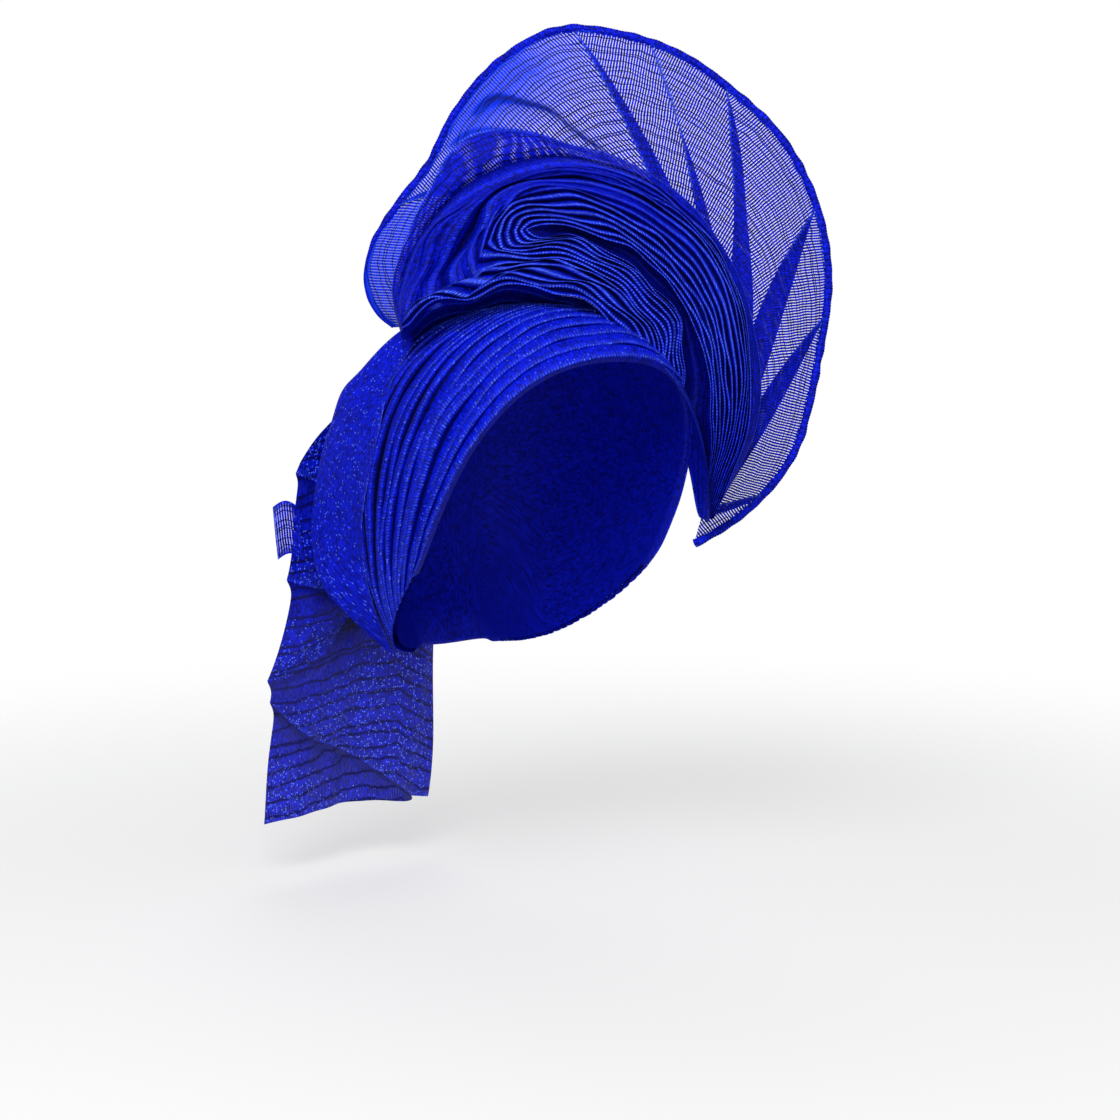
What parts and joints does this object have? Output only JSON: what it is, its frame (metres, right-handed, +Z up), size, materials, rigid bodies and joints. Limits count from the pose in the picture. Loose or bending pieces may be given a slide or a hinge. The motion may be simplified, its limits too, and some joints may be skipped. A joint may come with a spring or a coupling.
{
  "type": "tied gele head tie",
  "caption": "Head tie of stiff woven cloth, worn tied: overlapping pleats over the head, a coiled pleat rosette, a tall sheer halo with a rolled hem, a side flap and a hanging tail.",
  "frame": {"origin": "inside of the crown where it sits on the top of the head", "axes": "+Z up, -Y the way the wearer looks, +X to the wearer's left"},
  "size_m": [0.2598, 0.2368, 0.4778],
  "materials": {
    "royal_blue_cloth": "dense weave with a fine glitter thread",
    "royal_blue_gauze": "stiff open weave, seen through"
  },
  "bodies": {
    "root": {"head_wrap": "royal_blue_cloth", "rosette": "royal_blue_cloth", "halo": "royal_blue_gauze", "halo_hem": "royal_blue_cloth", "flap": "royal_blue_cloth", "tail": "royal_blue_cloth", "selvage_end": "royal_blue_gauze"}
  },
  "joints": []
}
